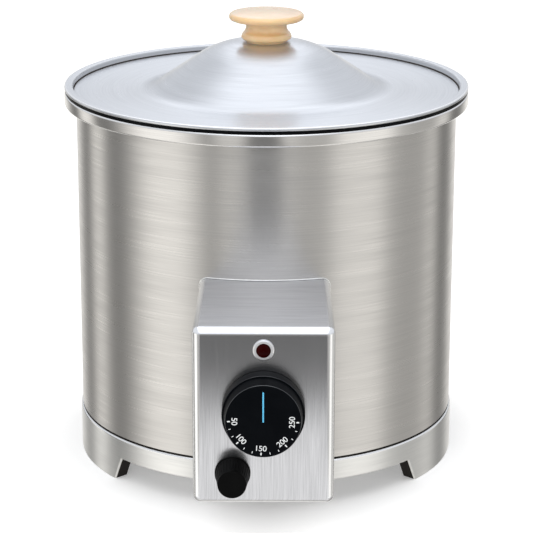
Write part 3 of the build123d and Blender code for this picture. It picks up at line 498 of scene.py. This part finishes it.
def clouded(name, code, other_code, rough, vary, cloud, detail, grain=None, settings={}):
    """Two close tones and an uneven gloss that share one cloudy pattern. Cloud and grain are
    sizes in millimetres."""
    material = blank_material(name)
    tree = material.node_tree
    place = add(tree, "ShaderNodeTexCoord").outputs["Object"]
    clouds = add(tree, "ShaderNodeTexNoise", {"Scale": 1 / (cloud * MM), "Detail": detail}, {
        "Vector": place,
    })
    tone = add(tree, "ShaderNodeMapRange", {
        "From Min": cloud_tones[0], "From Max": cloud_tones[1],
    }, {"Value": clouds})
    colours = add(tree, "ShaderNodeMix", {
        "data_type": "RGBA", 6: to_linear(code), 7: to_linear(other_code),
    }, {0: tone})
    gloss = add(tree, "ShaderNodeMapRange", {
        "From Min": cloud_gloss[0], "From Max": cloud_gloss[1],
        "To Min": rough - vary / 2, "To Max": rough + vary / 2,
    }, {"Value": clouds})
    links = {"Base Color": colours.outputs[2], "Roughness": gloss}
    if grain:
        texture = add(tree, "ShaderNodeTexNoise", {"Scale": 1 / (grain * MM), "Detail": 2.0}, {
            "Vector": place,
        })
        links["Normal"] = add(tree, "ShaderNodeBump", {
            "Strength": 0.25, "Distance": mould_depth,
        }, {"Height": texture})
    shader = add(tree, "ShaderNodeBsdfPrincipled", settings, links)
    add(tree, "ShaderNodeOutputMaterial", links={"Surface": shader})
    return material


def moulded(name, code, other_code, rough=0.35, vary=0.08, grain=0.8, settings={}):
    """Moulded plastic or rubber, with clouds of bloom the size of a fingertip."""
    # A mould's texture is some 0.05 mm fine, too fine to show, so its grain is drawn 0.8 to
    # 1.2 mm coarse.
    return clouded(
        name, code, other_code, rough, vary, cloud=12, detail=3.0, grain=grain, settings=settings,
    )


# Deep black with hardly a highlight, as silicone beside bright metal looks.
silicone = moulded(
    "moulded_silicone", "#050608", "#08090B", rough=0.3, settings={"Specular IOR Level": 0.06},
)
finish(silicone, "rim_seal")


# Wax pot and its studs: a deep-drawn stainless bowl, softly polished inside so that
# wax lets go, with three studs welded under its floor.

# Longer, softer marks than brushing: those of the drawing die, round its wall.
pot_steel = brushed(
    "drawn_stainless_pot", "#D2D0CC", "#BDBBB6", spacing=1.6, length=90, rough=0.26, spread=0.5,
)
finish(pot_steel, "inner_pot", "pot_studs")


# Heater: a split band in a steel jacket, bolted round the pot, with steatite
# terminals. The thermostat's copper bulb is clipped in the gap of the band.
def plated(name, code, other_code, rough):
    """Plated, turned or drawn metal, whose thin film is cloudy in patches of 3 mm."""
    return clouded(
        name, code, other_code, rough, vary=0.12, cloud=3, detail=4.0, settings={"Metallic": 1.0},
    )


# Straw and brown stains that heat leaves on steel.
heater_metal = plated("heat_tinted_steel", "#A9A39B", "#8C8379", 0.42)
finish(heater_metal, "heater_band", "bulb_clip")
# Silver with a faint blue, from the thin zinc.
zinc = plated("zinc_plated_steel", "#C3C6CA", "#AEB3BB", 0.32)
finish(zinc, "heater_clamp_bolts")
# Off-white and faintly glazed.
ceramic = moulded("fired_steatite", "#EDE8DC", "#E2DBCB", rough=0.4)
finish(ceramic, "heater_terminals")
# Warm pink-brown of copper that has been handled.
copper = plated("drawn_copper", "#C98763", "#B5714E", 0.3)
finish(copper, "sensor_bulb", "capillary_tube")


# Insulation: a slab under the pot and a blanket round it, of mineral wool that the
# press laid flat.
wool_tuft = 2.0 * MM                     # single fibres are far too fine to show, tufts aren't
wool_lie = (1, 1, 4)                     # tufts lie flat, four times as wide as they are high
wool_depth = 0.4 * MM
# Pale yellow-grey mat of short fibres, with no shine at all.
wool = blank_material("pressed_mineral_wool")
tree = wool.node_tree
laid = add(tree, "ShaderNodeVectorMath", {"operation": "MULTIPLY", 1: wool_lie}, {
    0: add(tree, "ShaderNodeTexCoord").outputs["Object"],
})
fibres = add(tree, "ShaderNodeTexNoise", {
    "Scale": 1 / wool_tuft, "Detail": 6.0, "Distortion": 1.5,
}, {"Vector": laid})
tone = add(tree, "ShaderNodeMapRange", {"From Min": 0.3, "From Max": 0.7}, {"Value": fibres})
wool_colours = add(tree, "ShaderNodeMix", {
    "data_type": "RGBA", 6: to_linear("#A89A6E"), 7: to_linear("#D8CDA6"),
}, {0: tone})
wool_bump = add(tree, "ShaderNodeBump", {"Strength": 0.6, "Distance": wool_depth}, {
    "Height": fibres,
})
wool_shader = add(tree, "ShaderNodeBsdfPrincipled", {"Roughness": 0.95}, {
    "Base Color": wool_colours.outputs[2], "Normal": wool_bump,
})
add(tree, "ShaderNodeOutputMaterial", links={"Surface": wool_shader})
finish(wool, "insulation_slab", "insulation_blanket")


# Base ring: cast aluminium on two broad legs, turned and brushed outside, and pulled up against the
# shell by the pot's studs. Its shoulder is covered with metal painted nearly white, a painted
# highlight, just below the gap under the shell, which is painted near black as shade.
base_out, base_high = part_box("base_ring")[1].x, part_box("base_ring")[1].z
base_shoulder = 30.9 * MM                # height where its rounded shoulder ends
base_bend = 1.3 * MM
base_turns = (2, 62)
edge_steps = 12
base_shade_radius = 129.9 * MM                # everything nearer the axis is painted near black as shade


def leave_dull(material, inner, outer, top, code):
    """Paints shade on a brushed metal: a dark, dull surface between two radii and below a height.
    """
    tree = material.node_tree
    end = tree.nodes["Material Output"]
    shine = end.inputs["Surface"].links[0].from_socket
    place = add(tree, "ShaderNodeTexCoord").outputs["Object"]
    place = add(tree, "ShaderNodeVectorMath", {
        "operation": "SUBTRACT", 1: (0, axis_y, 0),
    }, {0: place})
    height = add(tree, "ShaderNodeSeparateXYZ", links={0: place}).outputs["Z"]
    level = add(tree, "ShaderNodeVectorMath", {"operation": "MULTIPLY", 1: (1, 1, 0)}, {0: place})
    radius = add(tree, "ShaderNodeVectorMath", {"operation": "LENGTH"}, {0: level}).outputs["Value"]
    share = add(tree, "ShaderNodeMath", {"operation": "GREATER_THAN", 1: inner}, {0: radius})
    for limit, source in ((outer, radius), (top, height)):
        within = add(tree, "ShaderNodeMath", {"operation": "LESS_THAN", 1: limit}, {0: source})
        share = add(tree, "ShaderNodeMath", {"operation": "MULTIPLY"}, {0: share, 1: within})
    # The painted shade: a dark, dull surface.
    painted_shade = add(tree, "ShaderNodeBsdfPrincipled", {
        "Base Color": to_linear(code), "Roughness": 0.8, "Specular IOR Level": 0.1,
    })
    mixed = add(tree, "ShaderNodeMixShader", links={0: share, 1: shine, 2: painted_shade})
    tree.links.new(mixed.outputs[0], end.inputs["Surface"])


# A little paler and softer than the shell above it, and painted near black as shade in the gap and
# on the inner faces.
base_metal = brushed(
    "brushed_cast_aluminium", "#ECECEA", "#E0E0DE", spacing=0.8, length=35, rough=0.33,
)
# Painted shade: inside the brushed radius and up to just over the ring's top, the metal is painted
# near black.
leave_dull(base_metal, 0.0, base_shade_radius, base_high + 1 * MM, "#2A2725")
finish(base_metal, "base_ring")
base_middle = base_shoulder - base_bend
base_profile = bend_points(base_out, base_middle, base_bend, base_turns, edge_steps)
# Painted highlight on the shoulder: its skin is metal painted nearly white.
spun_skin("base_edge_skin", base_profile, [highlight_edge_steel], "pot")


# Bottom cover: a disc of plated steel sheet under the ring's ledge, held by the
# studs' washers and nuts, which are pressed and cut steel.
facing_from = 0.6                        # what points this much up or sideways is flat or side
bend_shares = (0.96, 0.70)               # fourth powers of a direction: 1 on a face, less on a bend
painted_highlight_lowest = -0.15                      # a bend that faces further down gets no painted highlight
lying_from = 0.97                        # what points this much up lies flat


def sheet_grain(tree, length, spacing):
    """Brushing on folded sheet, upright on its sides and crosswise on top: its pattern, the
    direction across it, the bends that get the painted highlight, and the faces that lie flat and
    are rougher."""
    place = add(tree, "ShaderNodeTexCoord").outputs["Object"]
    normal = add(tree, "ShaderNodeNewGeometry").outputs["Normal"]
    facing = add(tree, "ShaderNodeSeparateXYZ", links={0: normal})
    flat = add(tree, "ShaderNodeMath", {"operation": "ABSOLUTE"}, {0: facing.outputs["Z"]})
    flat = add(tree, "ShaderNodeMath", {"operation": "GREATER_THAN", 1: facing_from}, {0: flat})
    sideways = add(tree, "ShaderNodeMath", {"operation": "ABSOLUTE"}, {0: facing.outputs["X"]})
    sideways = add(tree, "ShaderNodeMath", {
        "operation": "GREATER_THAN", 1: facing_from,
    }, {0: sideways})
    part = add(tree, "ShaderNodeSeparateXYZ", links={0: place})
    both = add(tree, "ShaderNodeMath", {"operation": "ADD"}, {
        0: part.outputs["X"], 1: part.outputs["Y"],
    })
    upright = add(tree, "ShaderNodeCombineXYZ", links={0: part.outputs["Z"], 1: both})
    level = add(tree, "ShaderNodeCombineXYZ", links={0: part.outputs["X"], 1: part.outputs["Y"]})
    chosen = add(tree, "ShaderNodeMix", {"data_type": "VECTOR"}, {0: flat, 4: upright, 5: level})
    grain = add(tree, "ShaderNodeVectorMath", {
        "operation": "MULTIPLY", 1: (1 / length, 1 / spacing, 1.0),
    }, {0: chosen.outputs[1]})
    either = add(tree, "ShaderNodeMath", {"operation": "MAXIMUM"}, {0: flat, 1: sideways})
    cross = add(tree, "ShaderNodeMix", {"data_type": "VECTOR", 4: (1, 0, 0), 5: (0, 1, 0)}, {
        0: either,
    })
    squared = add(tree, "ShaderNodeVectorMath", {"operation": "MULTIPLY"}, {0: normal, 1: normal})
    fourth = add(tree, "ShaderNodeVectorMath", {"operation": "DOT_PRODUCT"}, {
        0: squared, 1: squared,
    })
    bend = add(tree, "ShaderNodeMapRange", {
        "From Min": bend_shares[0], "From Max": bend_shares[1],
    }, {"Value": fourth.outputs["Value"]})
    upper = add(tree, "ShaderNodeMath", {"operation": "GREATER_THAN", 1: painted_highlight_lowest}, {
        0: facing.outputs["Z"],
    })
    bend = add(tree, "ShaderNodeMath", {"operation": "MULTIPLY"}, {0: bend, 1: upper})
    lying = add(tree, "ShaderNodeMath", {"operation": "GREATER_THAN", 1: lying_from}, {
        0: facing.outputs["Z"],
    })
    return grain, cross.outputs[1], bend, lying


# Thinly plated over the mill's rolling marks, so greyer and duller than the steel outside, and with
# its upward bends painted nearly white as a painted highlight.
cover_steel = brushed(
    "rolled_steel_cover", "#C9CACB", "#B7B8B9", sheet_grain,
    spacing=1.2, length=40, rough=0.4, spread=0.4,
)
finish(cover_steel, "bottom_cover")
finish(zinc, "base_washers", "base_nuts")


# Control box: stainless sheet, folded and welded, then brushed upright on the front
# and sides and crosswise on top. The weld along the shell is dressed to a fine bead.
# Inside, brackets welded to the shell take the screws through the box's sides.
box_low, box_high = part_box("control_box")
box_half = 41.8 * MM                     # where the box meets the shell
box_round = 5.0 * MM
weld_tube = 0.5 * MM
weld_off = 0.55 * MM                     # from the box's skin to the middle of the bead
weld_sink = 0.15 * MM
weld_step = 2.0 * MM
corner_steps = 16


def bead(name, path, sides, tube, material, body, around=10):
    """A thin closed bead along a path. Sides face away from what it lies on, point by point."""
    form = bmesh.new()
    rows = []
    for i, (point, side) in enumerate(zip(path, sides)):
        along = (path[(i + 1) % len(path)] - path[i - 1]).normalized()
        across = along.cross(side).normalized()
        rows.append([
            form.verts.new(point + (side * math.cos(t) + across * math.sin(t)) * tube)
            for t in (2 * math.pi * j / around for j in range(around))
        ])
    for row, after in zip(rows, rows[1:] + rows[:1]):
        for j in range(around):
            k = (j + 1) % around
            form.faces.new((row[j], row[k], after[k], after[j])).smooth = True
    bmesh.ops.recalc_face_normals(form, faces=form.faces)
    new_piece(name, form, [material], body)


# Crisp upright lines with sharper bands than the shell's, and a painted highlight that makes its
# bends nearly white.
box_steel = brushed(
    "brushed_stainless_box", "#E2E2E4", "#C6C6C8", sheet_grain,
    spacing=0.7, length=30, rough=0.2, spread=0.5,
)
finish(box_steel, "control_box")
finish(cover_steel, "box_brackets")
finish(zinc, "box_screws")
box_middle = (box_low.z + box_high.z) / 2
corner_x = box_half - box_round
corner_z = (box_high.z - box_low.z) / 2 - box_round
outline = []
for side_x, side_z, start in ((1, 1, 0), (-1, 1, 90), (-1, -1, 180), (1, -1, 270)):
    for i in range(corner_steps + 1):
        turn = math.radians(start + 90 * i / corner_steps)
        x = side_x * corner_x + (box_round + weld_off) * math.cos(turn)
        z = box_middle + side_z * corner_z + (box_round + weld_off) * math.sin(turn)
        outline.append((x, z))
weld_line = []
weld_sides = []
for (x, z), (next_x, next_z) in zip(outline, outline[1:] + outline[:1]):
    steps = max(1, round(math.hypot(next_x - x, next_z - z) / weld_step))
    for i in range(steps):
        here = x + (next_x - x) * i / steps
        y = -math.sqrt((shell_radius + weld_sink) ** 2 - here ** 2)
        weld_line.append(Vector((here, axis_y + y, z + (next_z - z) * i / steps)))
        weld_sides.append(Vector((here, y, 0)).normalized())
# Painted highlight: the bead's metal is painted nearly white, so it shows as a fine bright line
# round the box.
weld_painted_highlight = plated("dressed_weld_painted_highlight", "#F5F5F3", "#E6E6E3", 0.22)
bead("box_weld", weld_line, weld_sides, weld_tube, weld_painted_highlight, "pot")


# Dial: black moulded thermostat knob. Its figures, ticks and blue pointer line are
# pad printed, a few hundredths of a millimetre thick. It is pushed on the spindle
# of the thermostat, which two screws hold behind the box's front.
dial_low, dial_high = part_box("dial_knob")
dial_front = Vector(((dial_low.x + dial_high.x) / 2, dial_low.y, (dial_low.z + dial_high.z) / 2))


def hoop(name, middle, up, radius, tube, material, body, steps):
    """A bead in a plain circle round an axis."""
    first = up.orthogonal().normalized()
    sides = [Matrix.Rotation(2 * math.pi * i / steps, 3, up) @ first for i in range(steps)]
    bead(name, [middle + side * radius for side in sides], sides, tube, material, body)


# Satin black, with a little blue painted in as a reflection of the room's cool ceiling.
dial_black = moulded(
    "moulded_black_dial", "#0A0C0F", "#0D0F12", rough=0.3, vary=0.06,
    settings={"IOR": 1.14, "Specular IOR Level": 0.15},
)
finish(dial_black, "dial_knob")
# Painted highlight: beads of a glossier, slightly paler blue-black lie on the edges, so that they
# show as thin pale arcs.
dial_highlight_gloss = moulded(
    "painted_highlight_black_edge", "#12161C", "#171C23", rough=0.14, vary=0.04, settings={"IOR": 2.0},
)
# Edge, with its radius, depth behind the face and thickness in millimetres.
for name, radius, back, tube in (
    ("dial_face_edge", 22.79, 0.43, 0.30), ("dial_skirt_edge", 24.9, 10.8, 0.42),
):
    hoop(
        name, dial_front + Vector((0, back * MM, 0)), Vector((0, 1, 0)), radius * MM, tube * MM,
        dial_highlight_gloss, "dial", steps=180,
    )

print_rise = 0.03 * MM
figure_circle = 17.3 * MM
figure_height = 3.5 * MM
figure_width = 1.05                      # times the plain letterform
figure_weight = 0.006                    # how far the letterform is thickened
figure_space = 0.95
tick_circle = 20.8 * MM
major_tick = (0.85 * MM, 1.9 * MM)
minor_tick = (0.45 * MM, 1.4 * MM)
pointer_size = (0.95 * MM, 19.4 * MM)
pointer_low = -0.6 * MM
scale_angles = {250: 91.5, 200: 138.5, 150: 183.5, 100: 228.6, 50: 270.0}


def on_dial(right, up, angle, circle):
    """Point on the dial's face. The angle is clockwise from the top, and figures stand on their
    circle with their tops inwards."""
    turn = math.radians(angle)
    inward = Vector((-math.sin(turn), 0, -math.cos(turn)))
    beside = Vector((-math.cos(turn), 0, math.sin(turn)))
    return dial_front + Vector((0, -print_rise, 0)) - inward * circle + beside * right + inward * up


def printed(name, faces, material):
    """One printed layer from lists of corner points."""
    form = bmesh.new()
    for corners in faces:
        form.faces.new([form.verts.new(corner) for corner in corners])
    bmesh.ops.remove_doubles(form, verts=form.verts, dist=1e-7)
    new_piece(name, form, [material], "dial")


def bar(width, length, angle, circle, start, steps=4):
    """Corners of a printed bar with rounded ends, which starts this far inside its circle."""
    half = width / 2
    turns = [math.pi * i / steps for i in range(steps + 1)]
    top = [(half * math.cos(t), start + length - half + half * math.sin(t)) for t in turns]
    foot = [(-half * math.cos(t), start + half - half * math.sin(t)) for t in turns]
    return [on_dial(right, up, angle, circle) for right, up in top + foot]


def tick(size, angle):
    """Corners of a printed tick, half inside and half outside its circle."""
    return bar(*size, angle, tick_circle, -size[1] / 2)


def figures(number, angle):
    """Faces of a printed number."""
    text = bpy.data.curves.new("figure", "FONT")
    text.body = str(number)
    text.offset = figure_weight
    text.space_character = figure_space
    holder = bpy.data.objects.new("figure", text)
    scene.collection.objects.link(holder)
    flat = bpy.data.meshes.new_from_object(holder)
    xs = [v.co.x for v in flat.vertices]
    ys = [v.co.y for v in flat.vertices]
    grow = figure_height / (max(ys) - min(ys))
    middle_x = (max(xs) + min(xs)) / 2
    middle_y = (max(ys) + min(ys)) / 2
    place = [
        on_dial((x - middle_x) * grow * figure_width, (y - middle_y) * grow, angle, figure_circle)
        for x, y in zip(xs, ys)
    ]
    faces = [[place[i] for i in face.vertices] for face in flat.polygons]
    bpy.data.objects.remove(holder)
    bpy.data.curves.remove(text)
    bpy.data.meshes.remove(flat)
    return faces


# Flat opaque ink, hardly glossy.
print_white = moulded("printed_white_ink", "#F2F4F4", "#E6E9EA", rough=0.5)
print_blue = moulded("printed_blue_ink", "#5CC0EA", "#4FB4DF", rough=0.45)
figure_faces = []
for number, angle in scale_angles.items():
    figure_faces += figures(number, angle)
printed("dial_figures", figure_faces, print_white)
tick_faces = [tick(major_tick, angle) for angle in scale_angles.values()]
majors = sorted(scale_angles.values())
for first, second in zip(majors, majors[1:]):
    for share in (1 / 3, 2 / 3):
        tick_faces.append(tick(minor_tick, first + (second - first) * share))
printed("dial_ticks", tick_faces, print_white)
printed("dial_pointer", [bar(*pointer_size, 180.0, 0.0, pointer_low)], print_blue)

# Brown-black and slightly mottled, from the filler in pressed phenolic.
phenolic = moulded("pressed_phenolic_case", "#15110F", "#1F1916", grain=1.2, rough=0.42)
finish(phenolic, "thermostat_body")
finish(zinc, "thermostat_spindle", "thermostat_screws")


# Pilot lamp: a bright plated bezel round a domed lens, with the unlit lamp's body,
# its nut and its two leads behind the panel.

# A soft, nearly white plating that blurs the room.
bezel_plate = plated("bright_nickel_plate", "#FAFAFB", "#F2F3F5", 0.45)
finish(bezel_plate, "lamp_bezel")
# Almost black red, as a lens looks with its lamp off.
lens_red = moulded(
    "dark_red_lens", "#230101", "#2E0202", rough=0.2, vary=0.04,
    settings={"Specular IOR Level": 0.06},
)
finish(lens_red, "lamp_lens")
# Matt black, with the flow of the mould just visible.
panel_black = moulded("glass_filled_nylon", "#19191A", "#232325", rough=0.5)
finish(panel_black, "lamp_body", "lamp_nut")
# Soft matt brick red.
lead_cover = moulded("silicone_wire_cover", "#A9402E", "#93372A", rough=0.5)
finish(lead_cover, "lamp_leads")


# Fuse holder: black thermoplastic flange and ribbed cap, nutted into the panel. The
# fuse is a glass tube that comes out with the cap.

# Flat black, duller than the dial.
fuse_black = moulded(
    "moulded_black_fuse_holder", "#0C0C0C", "#0F0F0F", rough=0.42,
    settings={"IOR": 1.18, "Specular IOR Level": 0.12},
)
finish(fuse_black, "fuse_holder", "fuse_cap")
finish(panel_black, "fuse_holder_nut")
# Clear, with a faint green.
fuse_glass = moulded(
    "clear_fuse_glass", "#F4F7F6", "#EDF2F0", rough=0.1, vary=0.04,
    settings={"Transmission Weight": 0.85},
)
finish(fuse_glass, "fuse_cartridge")


# Wiring: a moulded terminal block and a brass earth stud inside the box, and the
# heater's leads, which pass into the shell through a rubber grommet.

# Waxy off-white of unfilled nylon.
block_nylon = moulded("natural_nylon_block", "#E8E1CF", "#DDD5C0", rough=0.45)
finish(block_nylon, "terminal_block")
finish(zinc, "block_screw")
# Yellow metal, just starting to dull.
brass = plated("turned_brass", "#C9A35C", "#B48A45", 0.28)
finish(brass, "earth_stud", "earth_nut")
finish(lead_cover, "heater_leads")
finish(silicone, "wire_grommet")


# Cable gland: body, cap nut and locknut moulded from nylon, with rubber inside and
# under them, low on the back.

# Satin black, a little greyer than the dial.
gland_black = moulded("moulded_nylon_gland", "#18181A", "#212123", rough=0.45)
finish(gland_black, "gland_body", "gland_cap_nut", "gland_locknut")
finish(silicone, "gland_washer", "gland_seal")


# Lid: a stainless disc spun on a lathe, so its brushing runs in rings over the plate and up the
# dome. Its edge is folded to a bead, whose crest carries a painted highlight of metal painted
# nearly white, and where it dips towards the seal it is painted dark as shade.
lid_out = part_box("lid")[1].x
seal_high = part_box("rim_seal")[1].z
crest_high = seal_high + 2.35 * MM
crest_bend = 1.15 * MM
crest_turns = (38, 92)
# Painted shade: a dark ring in the crease at the foot of the bead.
shade_from = 131.2 * MM
shade_to = 132.1 * MM
shade_high = seal_high - 0.9 * MM
# Satin rings that gather the bright ceiling into a broad, cool sheen.
lid_steel = brushed(
    "spun_stainless_lid", "#DADCDF", "#CDCFD2", spacing=0.8, length=70, rough=0.31,
)
leave_dull(lid_steel, shade_from, shade_to, shade_high, "#3A3532")
finish(lid_steel, "lid")
crest_middle = crest_high - crest_bend
lid_profile = bend_points(lid_out, crest_middle, crest_bend, crest_turns, edge_steps)
# Painted highlight: the crest's skin is metal painted nearly white.
spun_skin("lid_edge_skin", lid_profile, [highlight_edge_steel], "lid")


# Lid knob: a cream urea moulding, lightly polished, with a brass insert. A screw and
# washer hold it from inside the dome.

# Warm cream that lets a little light into its edges, under a clear, soft gloss.
knob_cream = moulded(
    "moulded_cream_urea", "#F7D29C", "#F2C98F", rough=0.3, vary=0.06,
    settings={
        "Coat Weight": 1.0, "Coat Roughness": 0.2, "Coat IOR": 1.8, "Subsurface Weight": 0.35,
        "Subsurface Radius": (1.0, 0.5, 0.25), "Subsurface Scale": 4 * MM,
    },
)
finish(knob_cream, "lid_knob")
finish(brass, "lid_knob_insert")
finish(zinc, "lid_knob_washer", "lid_knob_screw")
